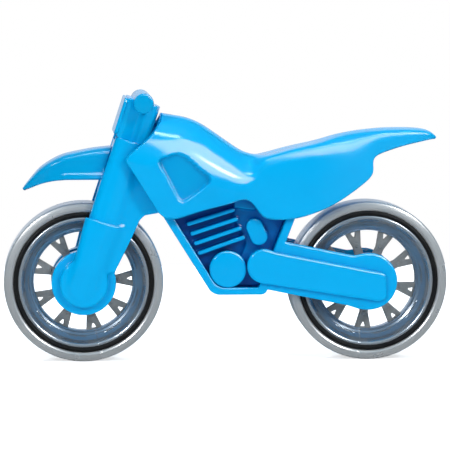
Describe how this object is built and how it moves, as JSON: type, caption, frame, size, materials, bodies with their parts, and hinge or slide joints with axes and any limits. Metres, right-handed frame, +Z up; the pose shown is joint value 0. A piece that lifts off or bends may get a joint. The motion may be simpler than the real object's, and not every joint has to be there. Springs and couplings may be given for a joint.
{
  "type": "toy motocross motorcycle",
  "caption": "Free-rolling toy motocross motorcycle with moulded plastic body, turning fork and spoked wheels.",
  "frame": {"origin": "on the ground under the middle of the motorcycle, on its centre plane", "axes": "+X to the tail, -Y is the rider's left, +Z up"},
  "size_m": [0.2456, 0.054, 0.1488],
  "materials": {
    "blue_plastic": "gloss injection moulded",
    "silver_tyre": "satin silver grey",
    "grey_rim": "silver grey, glossy dish and matt spokes",
    "black_ring": "black",
    "steel_pin": "plain"
  },
  "bodies": {
    "root": {"cowl": "blue_plastic", "backbone": "blue_plastic", "cradle_left": "blue_plastic", "cradle_right": "blue_plastic", "engine_left": "blue_plastic", "engine_right": "blue_plastic", "clutch_cover_left": "blue_plastic", "clutch_cover_right": "blue_plastic", "swingarm_left": "blue_plastic", "swingarm_right": "blue_plastic", "chain_case_left": "blue_plastic", "chain_case_right": "blue_plastic", "rear_axle": "steel_pin"},
    "fork": {"fork_left": "blue_plastic", "fork_right": "blue_plastic", "fork_crown": "blue_plastic", "steering_head": "blue_plastic", "number_plate": "blue_plastic", "handlebar": "blue_plastic", "front_fender": "blue_plastic", "steering_pin": "steel_pin", "front_axle": "steel_pin"},
    "front_wheel": {"front_rim": "grey_rim", "front_spokes": "grey_rim", "front_tyre": "silver_tyre", "front_bead_left": "black_ring", "front_bead_right": "black_ring"},
    "rear_wheel": {"rear_rim": "grey_rim", "rear_spokes": "grey_rim", "rear_tyre": "silver_tyre", "rear_bead_left": "black_ring", "rear_bead_right": "black_ring"}
  },
  "joints": [
    {"name": "steering", "type": "hinge", "parent": "root", "child": "fork", "pos_m": [-0.07556, 0, 0.04296], "axis": [0.3074, 0, 0.9516], "range_deg": [-10, 10]},
    {"name": "front_wheel_spin", "type": "hinge", "parent": "fork", "child": "front_wheel", "pos_m": [-0.0788, 0, 0.044], "axis": [0, 1, 0], "continuous": true},
    {"name": "rear_wheel_spin", "type": "hinge", "parent": "root", "child": "rear_wheel", "pos_m": [0.0788, 0, 0.044], "axis": [0, 1, 0], "continuous": true}
  ]
}
